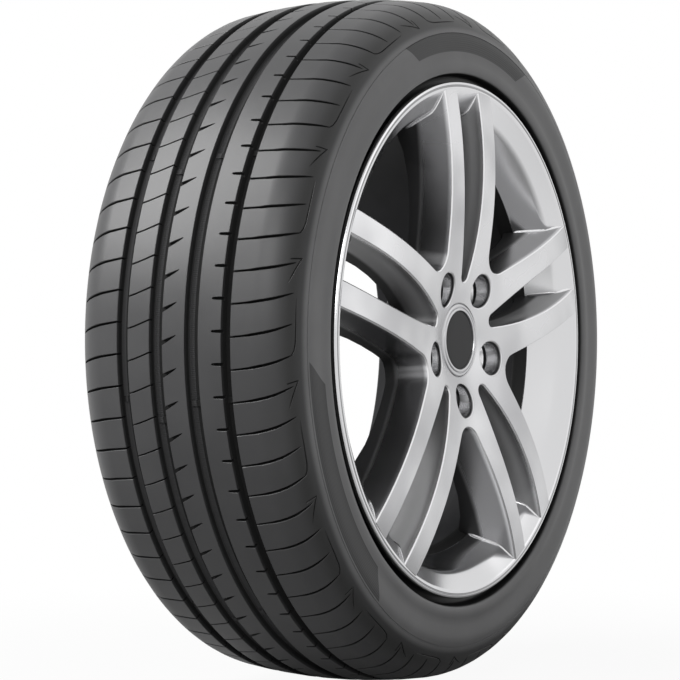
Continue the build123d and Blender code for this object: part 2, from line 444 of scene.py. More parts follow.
cut(tyre, join([slot_tool(name, stations) for name, stations in PITCH_SLOTS.items()]))
open_ends(tyre, (-PITCH / 2.0, PITCH / 2.0))
spin_copies(tyre, GROUP, PITCH)
bpy.ops.mesh.fill_holes(sides=0)
bpy.ops.mesh.normals_make_consistent(inside=False)
for name, stations in GROUP_LINES.items():
    cut(tyre, slot_tool(name, stations))
open_ends(tyre, (-PITCH / 2.0, PITCH * (GROUP - 0.5)))
spin_copies(tyre, PITCHES // GROUP, PITCH * GROUP)
bpy.ops.mesh.select_all(action="SELECT")
bpy.ops.transform.rotate(value=-PITCH_PHASE, orient_axis="Y", center_override=(0, 0, 0))

WEAR_BARS = 9
WEAR_BAR_TURNS = [-59.3, -59.8, -62.5, -59.3]
WEAR_BAR_LENGTH = 5.0
WEAR_BAR_HEIGHT = 1.6
WEAR_BAR_ROOT = -1.0
WEAR_BAR_INSET = 0.8
TYRE_SMOOTH = radians(38.0)


def wear_bar(centre, width, place):
    """A low bar across the floor of a groove, which comes level with the tread when the tyre is worn."""
    bottom = crown(centre) - GROOVE_DEPTH
    half = width / 2.0 - WEAR_BAR_INSET
    low, high = WEAR_BAR_ROOT, WEAR_BAR_HEIGHT
    corners = [(-half, low), (half, low), (half, high), (-half, high)]
    rings = []
    for end in (-0.5, 0.5):
        turn = radians(place) + end * WEAR_BAR_LENGTH / bottom
        ring = [((bottom + lift) * sin(turn), centre + y, (bottom + lift) * cos(turn)) for y, lift in corners]
        rings.append([Vector(point) * MM for point in ring])
    return loft("wear_bar", rings)


bars = join([wear_bar(*groove, place) for groove, place in zip(GROOVES, WEAR_BAR_TURNS)])
spin_copies(bars, WEAR_BARS, 2.0 * pi / WEAR_BARS)
join([tyre, bars])
bpy.ops.object.shade_smooth_by_angle(angle=TYRE_SMOOTH)
even = tyre.modifiers.new("even_ribs", "WEIGHTED_NORMAL")
even.keep_sharp = True
bpy.ops.object.modifier_apply(modifier=even.name)


def note(piece, name, value_of):
    """Keeps a value at each point of a piece, worked out from its place in millimetres, for its material."""
    spots = piece.data.attributes.new(name, "FLOAT", "POINT")
    spots.data.foreach_set("value", [value_of(vert.co / MM) for vert in piece.data.vertices])


note(tyre, "depth", lambda spot: max(tread_skin(spot.y)[0] - hypot(spot.x, spot.z), 0.0))

TREAD_TONES = (0.027, 0.027, 0.028, 1.0), (0.034, 0.034, 0.035, 1.0)
SIDE_SHEEN_TONES = (0.115, 0.115, 0.117, 1.0), (0.140, 0.140, 0.142, 1.0)
PATCHES = 0.3, 0.7
CAR_SIDE_TONE = (0.062, 0.062, 0.064, 1.0)
CAR_SIDE = -20.0, 20.0
SIDE_TOP = 282.0, 288.0
SHOULDER_SHADE_TONE = (0.014, 0.014, 0.014, 1.0)
SHOULDER_LOW, SHOULDER_HIGH, SHOULDER_SOFT = 290.0, 300.0, 5.0
BEAD_GAP = 243.6, 245.0
# Near black for the painted shade in the grooves, the slots and the gap at the bead.
CUT_SHADE_TONE = (0.004, 0.004, 0.004, 1.0)
GROOVE_MARGIN, GROOVE_SOFT = 0.6, 0.2
GROOVE_DARK = 0.1, 3.6
SLOT_DARK = 0.25, 1.4
CUT_FOOT = 288.0, 291.0
GROOVE_FLOOR_TONE = (0.036, 0.036, 0.037, 1.0)
GROOVE_FLOOR = 5.7, 6.1
STRIP_START, STRIP_SOFT = 1.2, 0.4
PANEL_TONE = (0.042, 0.042, 0.043, 1.0)
PANELS = [(89.5, 22.8, 264.0, 281.0, 0.0038), (-151.0, 23.0, 256.5, 279.0, 0.0035)]
PANEL_END_SOFT, PANEL_EDGE_SOFT = 0.0015, 0.4
PANEL_SIDE = 100.0, 104.0
HATCH_PITCH = 1.9
KNURLS = 1216
KNURL_MIDDLE, KNURL_REACH, KNURL_SOFT = -2.4, 25.0, 1.0
GRAIN_HEIGHT, HATCH_HEIGHT, KNURL_HEIGHT = 0.25, 0.4, 1.5
RUBBER_SPECULAR, RUBBER_ROUGHNESS = 0.36, 0.36
PATCHES_ROUGHER, CUTS_ROUGHER, SIDE_ROUGHER, PANEL_ROUGHER = 0.08, 0.56, 0.06, 0.1
rubber = bpy.data.materials.new("tyre_rubber")
rubber.use_nodes = True
tree = rubber.node_tree
skin = tree.nodes["Principled BSDF"]
skin.inputs["Specular IOR Level"].default_value = RUBBER_SPECULAR
start = Shade(tree)
spot = start.node("ShaderNodeTexCoord", output="Object")
parts = start.node("ShaderNodeSeparateXYZ", None, {0: spot})
x, y, z = (Shade(tree, parts.socket.node.outputs[k]) * (1.0 / MM) for k in range(3))
radius = start.maths("SQRT", x * x + z * z)
angle = start.maths("ARCTAN2", z, x)
depth = start.node("ShaderNodeAttribute", {"attribute_name": "depth"}, output="Fac")
in_groove, on_strip, panel = 0.0, 0.0, 0.0
for centre, width in GROOVES:
    reach = width / 2.0 + GROOVE_MARGIN
    in_groove = y.band(centre - reach, centre + reach, GROOVE_SOFT) + in_groove
for centre, width in GROOVES[1:]:
    on_strip = y.band(centre + STRIP_START, centre + width / 2.0, STRIP_SOFT) + on_strip
# Painted shade: the grooves below their edges and the slots are painted near black.
cut_shade = in_groove * depth.step(*GROOVE_DARK) + (1.0 - in_groove) * depth.step(*SLOT_DARK)
cut_shade = cut_shade * radius.step(*CUT_FOOT)
on_floor = depth.step(*GROOVE_FLOOR) * on_strip
# Painted shade: the tyre below the rim's lip, in the gap at the bead, is painted near black.
gap_shade = 1.0 - radius.step(*BEAD_GAP)
on_side = 1.0 - radius.step(*SIDE_TOP)
# Painted shade: a band round each shoulder is painted darker than the tread.
shoulder_shade = radius.band(SHOULDER_LOW, SHOULDER_HIGH, SHOULDER_SOFT)
for middle, half, low, high, slant in PANELS:
    off_middle = abs(start.maths("WRAP", angle - radians(middle), pi, -pi))
    off_middle = off_middle - (radius - (low + high) / 2.0) * slant
    past_end = off_middle.step(radians(half) - PANEL_END_SOFT, radians(half) + PANEL_END_SOFT)
    panel = (1.0 - past_end) * radius.band(low, high, PANEL_EDGE_SOFT) + panel
panel = panel * abs(y).step(*PANEL_SIDE)
cloud = start.node("ShaderNodeTexNoise", None, {"Vector": spot, "Scale": 14.0, "Detail": 4.0})
grain = start.node("ShaderNodeTexNoise", None, {"Vector": spot, "Scale": 900.0, "Detail": 3.0})
patches = cloud.step(*PATCHES)
# Painted sheen: the street-side sidewall is painted lighter than the car side and the tread.
colour = y.step(*CAR_SIDE).blend(patches.blend(*SIDE_SHEEN_TONES), CAR_SIDE_TONE)
colour = on_side.blend(patches.blend(*TREAD_TONES), colour)
colour = shoulder_shade.blend(colour, SHOULDER_SHADE_TONE)
colour = panel.blend(colour, PANEL_TONE)
colour = start.maths("MAXIMUM", cut_shade, gap_shade).blend(colour, CUT_SHADE_TONE)
# Painted light: the knurled floor strip along the car-side wall of the three wider grooves keeps about the
# tread's tone beside the painted shade.
colour = on_floor.blend(colour, GROOVE_FLOOR_TONE)
tree.links.new(colour.socket, skin.inputs["Base Color"])
rough = RUBBER_ROUGHNESS + cloud * PATCHES_ROUGHER + cut_shade * CUTS_ROUGHER
rough = rough + on_side * SIDE_ROUGHER + panel * PANEL_ROUGHER
tree.links.new(rough.socket, skin.inputs["Roughness"])
hatch = start.maths("SINE", radius * (2.0 * pi / HATCH_PITCH)) * panel
knurl = start.maths("SINE", angle * float(KNURLS)) * on_floor
knurl = knurl * (1.0 - abs(y - KNURL_MIDDLE).step(KNURL_REACH - KNURL_SOFT, KNURL_REACH))
height = grain * GRAIN_HEIGHT + hatch * HATCH_HEIGHT + knurl * KNURL_HEIGHT
bump = start.node("ShaderNodeBump", None, {"Strength": 0.35, "Distance": 0.3 * MM, "Height": height})
tree.links.new(bump.socket, skin.inputs["Normal"])
tyre.data.materials.append(rubber)
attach(tyre, "root")
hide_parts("tyre")

# Rim: the street-side part of the cast wheel, turned bright on its lip and on the slope inside it.
# The lip has a fine turned line, and the tyre's bead sits behind it.
RIM_STEPS = 432
RIM_SMOOTH = radians(32.0)
TURN_WELD = 0.005 * MM
LIP_FACE = -112.7
NECK = -61.0
LINE_OUTER, LINE_INNER = 234.0, 232.0
SLOPE_LINES = [(-111.6, 228.6), (-103.6, 215.8), (-101.6, 213.2), (-99.0, 211.4), (-75.2, 199.2)]
RIM_LINES = [
    (NECK, 199.5), (-63.0, 200.4), (-80.0, 216.2), (-82.0, 216.8), (-101.0, 218.3), (-102.4, 221.0),
    (-103.6, 229.0), (-105.6, 233.8), (-108.6, 236.1), (-111.2, 236.5), (-112.3, 236.0), (LIP_FACE, 235.2),
    (LIP_FACE, LINE_OUTER), (-112.3, 233.6), (-112.3, 232.4), (LIP_FACE, LINE_INNER), (LIP_FACE, 230.2),
    (-112.4, 229.5), *SLOPE_LINES, (-74.4, 198.5), (-73.6, 198.4), (-73.0, 199.2), (-66.0, 196.0),
    (-63.0, 194.2), (NECK, 193.9),
]


def turn(name, lines, steps=RIM_STEPS):
    """A section, as places along the axle and radii, turned about the axle."""
    piece = draw(name, [Vector((0.0, y, radius)) * MM for y, radius in lines])
    bpy.ops.mesh.spin(steps=steps, angle=2.0 * pi, center=(0, 0, 0), axis=(0, -1, 0))
    bpy.ops.mesh.select_all(action="SELECT")
    bpy.ops.mesh.remove_doubles(threshold=TURN_WELD)
    bpy.ops.mesh.dissolve_degenerate(threshold=TURN_WELD)
    bpy.ops.mesh.select_all(action="SELECT")
    bpy.ops.mesh.normals_make_consistent(inside=False)
    bpy.ops.object.mode_set(mode="OBJECT")
    return piece


rim = turn("rim", RIM_LINES)
bpy.ops.object.shade_smooth_by_angle(angle=RIM_SMOOTH)

ALLOY = (0.66, 0.66, 0.67, 1.0)
SLOPE = (0.68, 0.68, 0.69, 1.0)
SLOPE_BLEND = -108.0, -90.0
LINE_SHADE_TONE = (0.30, 0.30, 0.305, 1.0)
LINE_SOFT = 0.3
LINE_BACK = -110.5, -109.5
INSIDE_PAINT = (0.008, 0.008, 0.008, 1.0)
PAINT_EDGE, PAINT_SOFT = -73.3, 0.15
PAINT_COVER = 0.7
RIM_ROUGHNESS, RIM_ROUGHER, PAINT_ROUGHER = 0.14, 0.06, 0.35
turned_alloy = bpy.data.materials.new("turned_alloy")
turned_alloy.use_nodes = True
tree = turned_alloy.node_tree
skin = tree.nodes["Principled BSDF"]
start = Shade(tree)
spot = start.node("ShaderNodeTexCoord", output="Object")
parts = start.node("ShaderNodeSeparateXYZ", None, {0: spot})
x, y, z = (Shade(tree, parts.socket.node.outputs[k]) * (1.0 / MM) for k in range(3))
radius = start.maths("SQRT", x * x + z * z)
down_slope = y.step(*SLOPE_BLEND)
# Painted shade: the fine turned line on the lip is painted darker than the lip.
line_shade = radius.band(LINE_INNER, LINE_OUTER, LINE_SOFT) * (1.0 - y.step(*LINE_BACK))
painted = y.step(PAINT_EDGE - PAINT_SOFT, PAINT_EDGE + PAINT_SOFT)
cloud = start.node("ShaderNodeTexNoise", None, {"Vector": spot, "Scale": 9.0, "Detail": 3.0})
colour = line_shade.blend(down_slope.blend(ALLOY, SLOPE), LINE_SHADE_TONE)
colour = painted.blend(colour, INSIDE_PAINT)
tree.links.new(colour.socket, skin.inputs["Base Color"])
tree.links.new((1.0 - painted * PAINT_COVER).socket, skin.inputs["Metallic"])
rough = RIM_ROUGHNESS + cloud * RIM_ROUGHER + painted * PAINT_ROUGHER
tree.links.new(rough.socket, skin.inputs["Roughness"])
rim.data.materials.append(turned_alloy)
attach(rim, "root")
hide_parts("alloy_wheel")

# Barrel: the rest of the same casting, from the drop well to the car-side flange, painted dark inside.
# It is open towards the car, where the brake goes in.
BARREL_LINES = [
    (NECK, 193.9), (-36.0, 193.9), (-33.0, 194.2), (-30.0, 194.9), (99.0, 212.3), (101.6, 213.0),
    (103.2, 214.8), (111.6, 228.4), (112.4, 229.5), (112.7, 230.4), (112.7, 234.6), (112.3, 235.5),
    (111.2, 236.0), (108.6, 235.7), (105.6, 233.6), (103.6, 229.0), (102.4, 221.0), (101.0, 218.3),
    (80.0, 216.4), (-30.0, 200.2), (-34.0, 199.5), (NECK, 199.5),
]
barrel = turn("barrel", BARREL_LINES)
bpy.ops.object.shade_smooth_by_angle(angle=RIM_SMOOTH)

BARREL_TONES = (0.008, 0.008, 0.009, 1.0), (0.014, 0.014, 0.015, 1.0)
BARREL_PATCHES = 0.35, 0.7
BARREL_SPECULAR = 0.12
BARREL_ROUGHNESS, BARREL_ROUGHER = 0.55, 0.15
barrel_paint = bpy.data.materials.new("barrel_paint")
barrel_paint.use_nodes = True
tree = barrel_paint.node_tree
skin = tree.nodes["Principled BSDF"]
skin.inputs["Specular IOR Level"].default_value = BARREL_SPECULAR
start = Shade(tree)
spot = start.node("ShaderNodeTexCoord", output="Object")
cloud = start.node("ShaderNodeTexNoise", None, {"Vector": spot, "Scale": 22.0, "Detail": 4.0})
colour = cloud.step(*BARREL_PATCHES).blend(*BARREL_TONES)
tree.links.new(colour.socket, skin.inputs["Base Color"])
tree.links.new((BARREL_ROUGHNESS + cloud * BARREL_ROUGHER).socket, skin.inputs["Roughness"])
barrel.data.materials.append(barrel_paint)
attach(barrel, "root")
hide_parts("alloy_wheel")

# Spokes and hub: five pairs of bowed spokes in one casting, with broken edges, silver flanks that spread
# towards the back and turn near black with depth as painted shade, and small fillets where the flanks meet
# the rim's slope. The hub is dished down to the centre cap, and the bolt pockets and bores are machined in
# it.
PAIRS = 5
PAIR_ANGLE = 2.0 * pi / PAIRS
CREST = -120.2
CREST_RADIUS = 150.0
BOW_RADIUS = 422.0
HUB_ROUND, SPOKES_FLAT = 62.0, 100.0
FACE_START, SPOKE_REACH = 20.0, 262.0
FACE_RINGS = 34
FACE_STEPS = 120
ROOM_STEPS = 180
SPOKE_SMOOTH = radians(24.0)
PAD_FACE = -60.0
SHEET_BACK = 110.0
SPOKE_ROOM = [
    (-135.0, 8.0), (-135.0, 240.0), (-113.0, 230.6), (-112.0, 230.2), (-101.8, 214.2), (-66.0, 196.0),
    (-65.4, 194.0), (-72.0, 178.0), (-76.4, 156.0), (-77.4, 134.0), (-76.4, 112.0), (-74.2, 96.0),
    (-72.0, 84.0), (-68.0, 75.0), (-63.0, 69.0), (-61.0, 67.6), (PAD_FACE, 66.6), (PAD_FACE, 8.0),
]


def off_pair(spot):
    """Angle from the middle of the nearest pair of spokes to a place on the wheel."""
    return (atan2(spot.z, spot.x) - pi / 2.0 + PAIR_ANGLE / 2.0) % PAIR_ANGLE - PAIR_ANGLE / 2.0


def face_height(spot):
    """Place along the axle of the wheel's face: round at the hub, and flat across each pair of spokes."""
    reach = hypot(spot.x, spot.z)
    flat = min(max((reach - HUB_ROUND) / (SPOKES_FLAT - HUB_ROUND), 0.0), 1.0)
    along = reach * (1.0 + flat * (cos(off_pair(spot)) - 1.0))
    return (along - CREST_RADIUS) ** 2 / (2.0 * BOW_RADIUS) + CREST


places = [FACE_START + (SPOKE_REACH - FACE_START) * k / FACE_RINGS for k in range(FACE_RINGS + 1)]
spokes = draw("spokes", [Vector((0.0, CREST, reach)) * MM for reach in places], closed=False)
bpy.ops.mesh.spin(steps=FACE_STEPS, angle=2.0 * pi, center=(0, 0, 0), axis=(0, -1, 0))
bpy.ops.mesh.select_all(action="SELECT")
bpy.ops.mesh.remove_doubles(threshold=TURN_WELD)
shape = bmesh.from_edit_mesh(spokes.data)
for vert in shape.verts:
    vert.co.y = face_height(vert.co / MM) * MM
bmesh.update_edit_mesh(spokes.data)
bpy.ops.mesh.select_all(action="SELECT")
bpy.ops.mesh.extrude_region_move(TRANSFORM_OT_translate={"value": (0.0, SHEET_BACK * MM, 0.0)})
bpy.ops.mesh.select_all(action="SELECT")
bpy.ops.mesh.normals_make_consistent(inside=False)
cut(spokes, turn("spoke_room", SPOKE_ROOM, ROOM_STEPS), "INTERSECT")

EDGE_BREAK = 1.3
EDGE_RISE = 3.0
STEEP_DEPTH = 13.0
STEEP_SHRINK = 0.98
FLANK_DEPTH = 46.0
FLANK_SHRINK = 0.91
FRONT, BACK = -140.0, -5.0
WINDOW_APEX = 66.7
WINDOW_LEAN = radians(34.2)
WINDOW_CORNER = 18.0
WINDOW_FOCUS = 170.0
WINDOW_STEPS = 12
SLIT_START, SLIT_END = 60.0, 236.0
SLIT_ROOT, SLIT_MOUTH = 6.7, 20.6
SLIT_FOCUS = 140.0
SLIT_STEPS = 14
CORNER_STEPS = 10


def corner(centre, radius, spread):
    """A rounded inner end of an opening, from one side to the other."""
    angles = [spread - 2.0 * spread * k / CORNER_STEPS for k in range(CORNER_STEPS + 1)]
    return [(centre - radius * cos(angle), radius * sin(angle)) for angle in angles]


def window_outline(grown):
    """The wide opening between two pairs, along its own middle."""
    centre = WINDOW_APEX + WINDOW_CORNER / sin(WINDOW_LEAN)
    end = corner(centre, WINDOW_CORNER + grown, pi / 2.0 - WINDOW_LEAN)
    side = []
    for k in range(WINDOW_STEPS, 0, -1):
        run = (SPOKE_REACH - end[0][0]) * k / WINDOW_STEPS
        side.append((end[0][0] + run, end[0][1] + run * tan(WINDOW_LEAN)))
    return side + end + [(s, -t) for s, t in reversed(side)]


def slit_outline(grown):
    """The narrow opening inside a pair, which widens quickly and then runs on with even sides."""
    side = [(SPOKE_REACH, SLIT_MOUTH + grown)]
    for k in range(SLIT_STEPS, 0, -1):
        rest = 1.0 - k / SLIT_STEPS
        half = SLIT_MOUTH - (SLIT_MOUTH - SLIT_ROOT) * rest**3
        side.append((SLIT_START + (SLIT_END - SLIT_START) * k / SLIT_STEPS, half + grown))
    return side + corner(SLIT_START, SLIT_ROOT + grown, pi / 2.0) + [(s, -t) for s, t in reversed(side)]


def face_ring(points, depth=None, level=None):
    """An outline laid a depth below the wheel's face, or flat at one level."""
    ring = []
    for x, z in points:
        y = level if depth is None else face_height(Vector((x, 0.0, z))) + depth
        ring.append(Vector((x, y, z)) * MM)
    return ring


def placed(points, focus, shrink, way):
    """An outline drawn in towards one place on its middle, and turned to where it lies on the wheel."""
    points = [(focus + (s - focus) * shrink, t * shrink) for s, t in points]
    return [(s * cos(way) - t * sin(way), s * sin(way) + t * cos(way)) for s, t in points]


def opening(name, outline, focus, way):
    """The tool for one opening, from in front of the face to behind the spokes."""
    wide = placed(outline(EDGE_BREAK + EDGE_RISE), focus, 1.0, way)
    narrow = placed(outline(0.0), focus, FLANK_SHRINK, way)
    return loft(name, [
        face_ring(wide, level=FRONT),
        face_ring(wide, depth=-EDGE_RISE),
        face_ring(placed(outline(0.0), focus, 1.0, way), depth=EDGE_BREAK),
        face_ring(placed(outline(0.0), focus, STEEP_SHRINK, way), depth=STEEP_DEPTH),
        face_ring(narrow, depth=FLANK_DEPTH),
        face_ring(narrow, level=BACK),
    ])


BOLT_CIRCLE = 56.0
POCKET_STEPS = 40
BORE_STEPS = 96
SPOKE_WELD = 0.01 * MM
POCKET_MOUTH = [(19.0, -3.0), (17.0, -0.1), (16.0, 0.5), (15.3, 1.4), (15.0, 2.6), (14.96, 4.2)]
SEAT_START, SEAT_END = -93.6, -84.6
POCKET_BORE = [
    (14.8, SEAT_START - 3.2), (15.6, SEAT_START - 2.8), (15.6, SEAT_START - 0.4), (14.6, SEAT_START),
    (9.4, SEAT_END), (8.6, SEAT_END + 0.2), (7.5, SEAT_END + 1.0), (7.5, -61.0), (9.0, -59.5), (9.0, -55.0),
]
BORE_LINES = [
    (-135.0, 0.0), (-135.0, 36.0), (-104.9, 35.0), (-103.8, 34.0), (-101.0, 33.8), (-101.0, 30.0),
    (-84.0, 30.0), (-84.0, 35.0), (-78.5, 35.0), (-78.5, 33.3), (-61.5, 33.3), (-59.5, 35.3),
    (-50.0, 35.3), (-50.0, 0.0),
]


def pocket_tool(way):
    """The tool for one bolt pocket: broken mouth, wall with an undercut, conical seat and bolt hole."""
    middle = (BOLT_CIRCLE * cos(way), BOLT_CIRCLE * sin(way))
    angles = [2.0 * pi * k / POCKET_STEPS for k in range(POCKET_STEPS)]

    def circle(radius):
        return [(middle[0] + radius * cos(angle), middle[1] + radius * sin(angle)) for angle in angles]

    rings = [face_ring(circle(POCKET_MOUTH[0][0]), level=FRONT)]
    rings += [face_ring(circle(radius), depth=depth) for radius, depth in POCKET_MOUTH]
    rings += [face_ring(circle(radius), level=level) for radius, level in POCKET_BORE]
    return loft("pocket_tool", rings)


tools = [turn("bore_tool", BORE_LINES, BORE_STEPS)]
for k in range(PAIRS):
    pair = pi / 2.0 + PAIR_ANGLE * k
    between = pair + PAIR_ANGLE / 2.0
    tools.append(opening("slit_tool", slit_outline, SLIT_FOCUS, pair))
    tools.append(opening("window_tool", window_outline, WINDOW_FOCUS, between))
    tools.append(pocket_tool(between))
cut(spokes, join(tools))
edit(spokes)
bpy.ops.mesh.remove_doubles(threshold=SPOKE_WELD)

FILLET = 2.0
FILLET_LEAST = 0.2
FILLET_START, FILLET_END = 2.0, 43.5
FILLET_TAPER = 5.0
FILLET_STEPS = 12
FILLET_ARC = [(1.0, 0.0), (0.62, 0.08), (0.29, 0.29), (0.08, 0.62), (0.0, 1.0), (-0.4, -0.4)]


def past_slope(point):
    """How far a point lies beyond the rim's slope, in millimetres."""
    y = point.y / MM
    for (start, outer), (end, inner) in zip(SLOPE_LINES, SLOPE_LINES[1:]):
        if y < end:
            break
    return hypot(point.x, point.z) / MM - outer - (inner - outer) * (y - start) / (end - start)


def fillet(outline, focus, way, side):
    """The small fillet where one flank of an opening runs into the rim's slope, tapered at both ends."""
    line = [(s, side * t) for s, t in outline(0.0)]
    rings = []
    for k in range(FILLET_STEPS + 1):
        depth = FILLET_START + (FILLET_END - FILLET_START) * k / FILLET_STEPS
        if depth < STEEP_DEPTH:
            shrink = 1.0 + (STEEP_SHRINK - 1.0) * (depth - EDGE_BREAK) / (STEEP_DEPTH - EDGE_BREAK)
        else:
            deeper = (depth - STEEP_DEPTH) / (FLANK_DEPTH - STEEP_DEPTH)
            shrink = STEEP_SHRINK + (FLANK_SHRINK - STEEP_SHRINK) * deeper
        flank = face_ring(placed(line, focus, shrink, way), depth=depth)
        outer, inner = next((a, b) for a, b in zip(flank, flank[1:]) if past_slope(a) > 0.0 >= past_slope(b))
        meeting = outer.lerp(inner, past_slope(outer) / (past_slope(outer) - past_slope(inner)))
        inwards = (inner - outer).normalized()
        across = Vector((meeting.z, 0.0, -meeting.x)).normalized() * side
        from_end = min(depth - FILLET_START, FILLET_END - depth)
        width = FILLET * min(FILLET_LEAST + from_end / FILLET_TAPER, 1.0) * MM
        rings.append([meeting + (inwards * a + across * b) * width for a, b in FILLET_ARC])
    return loft("fillet", rings)


fillets = []
for k in range(PAIRS):
    pair = pi / 2.0 + PAIR_ANGLE * k
    for side in (-1.0, 1.0):
        fillets.append(fillet(slit_outline, SLIT_FOCUS, pair, side))
        fillets.append(fillet(window_outline, WINDOW_FOCUS, pair + PAIR_ANGLE / 2.0, side))
fillets = join(fillets)

# Painted highlight and shade in the bolt pockets: values that give the bright edge tone or the near-black
# back tone.
POCKET_HIGHLIGHT, POCKET_DEEP_SHADE = 0.8, 40.0
POCKET_SHADE_START, POCKET_SHADE_END = 1.2, 3.4
UNDERCUT, SEAT_SLACK = 3.0, 0.1
SLIT_LIGHT_START, SLIT_LIGHT_END = 5.0, 30.0


def depth_with_painted_light(spot):
    """Depth below the face, which sets the painted shade of the flanks. In a bolt pocket the wall and the
    seat get a painted highlight, and the line under the mouth, the undercut and the bolt's hole get painted
    shade."""
    depth = max(spot.y - face_height(spot), 0.0)
    reach = hypot(spot.x, spot.z)
    off_window = (atan2(spot.z, spot.x) - pi / 2.0) % PAIR_ANGLE - PAIR_ANGLE / 2.0
    from_bolt = hypot(reach * cos(off_window) - BOLT_CIRCLE, reach * sin(off_window))
    if from_bolt >= POCKET_MOUTH[1][0]:
        return depth
    shaded = POCKET_SHADE_START < depth < POCKET_SHADE_END
    on_wall = spot.y < SEAT_START - UNDERCUT
    on_seat = SEAT_START - SEAT_SLACK < spot.y < SEAT_END + SEAT_SLACK
    bright = (on_wall or on_seat) and not shaded
    return min(depth, POCKET_HIGHLIGHT) if bright else POCKET_DEEP_SHADE


def slit_light(spot):
    """1 on the flanks of the slits, below their edges, which are painted lighter as painted light."""
    reach = hypot(spot.x, spot.z)
    in_slit = reach > SLIT_START - SLIT_ROOT and reach * abs(sin(off_pair(spot))) < SLIT_MOUTH + EDGE_BREAK
    return float(in_slit and SLIT_LIGHT_START < spot.y - face_height(spot) < SLIT_LIGHT_END)


# The fillets take the bright edge tone, a painted highlight.
FILLET_HIGHLIGHT_DEPTH = 0.9
note(spokes, "depth", depth_with_painted_light)
note(spokes, "slit", slit_light)
note(fillets, "depth", lambda spot: FILLET_HIGHLIGHT_DEPTH)
note(fillets, "slit", lambda spot: 0.0)
join([spokes, fillets])
bpy.ops.object.shade_smooth_by_angle(angle=SPOKE_SMOOTH)

FACE_TONES = (0.42, 0.42, 0.43, 1.0), (0.65, 0.65, 0.66, 1.0)
EDGE_HIGHLIGHT_TONE = (0.80, 0.80, 0.81, 1.0)
FLANK_TONE = (0.30, 0.30, 0.305, 1.0)
SLIT_LIGHT_TONE = (0.36, 0.36, 0.365, 1.0)
BACK_SHADE_TONE = (0.035, 0.035, 0.036, 1.0)
EDGE_FROM, FLANK_FROM, BACK_FROM = (0.1, 0.5), (1.3, 6.0), (28.0, 34.0)
BACK_COVER, SLIT_COVER = 0.3, 0.7
SPOKE_ROUGHNESS, SPOKE_ROUGHER = 0.21, 0.10
BACK_ROUGHER, SLIT_ROUGHER = 0.25, 0.2
cast_alloy = bpy.data.materials.new("cast_alloy")
cast_alloy.use_nodes = True
tree = cast_alloy.node_tree
skin = tree.nodes["Principled BSDF"]
start = Shade(tree)
spot = start.node("ShaderNodeTexCoord", output="Object")
depth = start.node("ShaderNodeAttribute", {"attribute_name": "depth"}, output="Fac")
in_slit = start.node("ShaderNodeAttribute", {"attribute_name": "slit"}, output="Fac")
cloud = start.node("ShaderNodeTexNoise", None, {"Vector": spot, "Scale": 10.0, "Detail": 2.0})
# Painted highlight: the broken edges, the fillets and the bright parts of the bolt pockets are painted
# lighter than the face.
edge_highlight = depth.step(*EDGE_FROM)
on_flank = depth.step(*FLANK_FROM)
# Painted shade: below the darker silver of the flanks, the spokes turn near black towards the back.
back_shade = depth.step(*BACK_FROM)
colour = edge_highlight.blend(cloud.step(*PATCHES).blend(*FACE_TONES), EDGE_HIGHLIGHT_TONE)
colour = on_flank.blend(colour, FLANK_TONE)
# Painted light: the flanks of the slits are painted lighter and less metallic than the other flanks.
colour = in_slit.blend(colour, SLIT_LIGHT_TONE)
colour = back_shade.blend(colour, BACK_SHADE_TONE)
tree.links.new(colour.socket, skin.inputs["Base Color"])
tree.links.new((1.0 - back_shade * BACK_COVER - in_slit * SLIT_COVER).socket, skin.inputs["Metallic"])
rough = SPOKE_ROUGHNESS + cloud * SPOKE_ROUGHER + back_shade * BACK_ROUGHER + in_slit * SLIT_ROUGHER
tree.links.new(rough.socket, skin.inputs["Roughness"])
spokes.data.materials.clear()
spokes.data.materials.append(cast_alloy)
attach(spokes, "root")
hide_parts("alloy_wheel")

# Centre cap: a satin silver bezel, moulded with clips that hook into the bore.
# Its face is a plain dark disc set a little below the bezel.
CAP_STEPS = 144
CAP_SMOOTH = radians(40.0)
BEZEL_LINES = [
    (-101.1, 33.3), (-103.4, 33.5), (-104.2, 33.2), (-104.7, 32.5), (-104.8, 31.6), (-104.8, 30.8),
    (-104.0, 30.4), (-104.0, 29.9), (-105.0, 29.5), (-105.4, 29.0), (-105.4, 27.9), (-105.2, 27.3),
    (-104.6, 27.0), (-103.6, 27.0), (-101.1, 27.0),
]
bezel = turn("cap_bezel", BEZEL_LINES, CAP_STEPS)
bpy.ops.object.shade_smooth_by_angle(angle=CAP_SMOOTH)

BEZEL_TONES = (0.50, 0.50, 0.51, 1.0), (0.54, 0.54, 0.55, 1.0)
BEZEL_METALLIC = 0.95
BEZEL_ROUGHNESS, BEZEL_ROUGHER = 0.26, 0.04
satin = bpy.data.materials.new("cap_plastic")
satin.use_nodes = True
tree = satin.node_tree
skin = tree.nodes["Principled BSDF"]
skin.inputs["Metallic"].default_value = BEZEL_METALLIC
start = Shade(tree)
spot = start.node("ShaderNodeTexCoord", output="Object")
cloud = start.node("ShaderNodeTexNoise", None, {"Vector": spot, "Scale": 60.0, "Detail": 2.0})
colour = cloud.blend(*BEZEL_TONES)
tree.links.new(colour.socket, skin.inputs["Base Color"])
tree.links.new((BEZEL_ROUGHNESS + cloud * BEZEL_ROUGHER).socket, skin.inputs["Roughness"])
bezel.data.materials.append(satin)
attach(bezel, "root")
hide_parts("centre_cap")

DISC_LINES = [
    (-104.4, 0.0), (-104.35, 12.0), (-104.25, 22.0), (-104.1, 26.0), (-103.8, 26.9), (-102.5, 27.0),
    (-102.5, 0.0),
]
disc = turn("cap_face", DISC_LINES, CAP_STEPS)
bpy.ops.object.shade_smooth_by_angle(angle=CAP_SMOOTH)

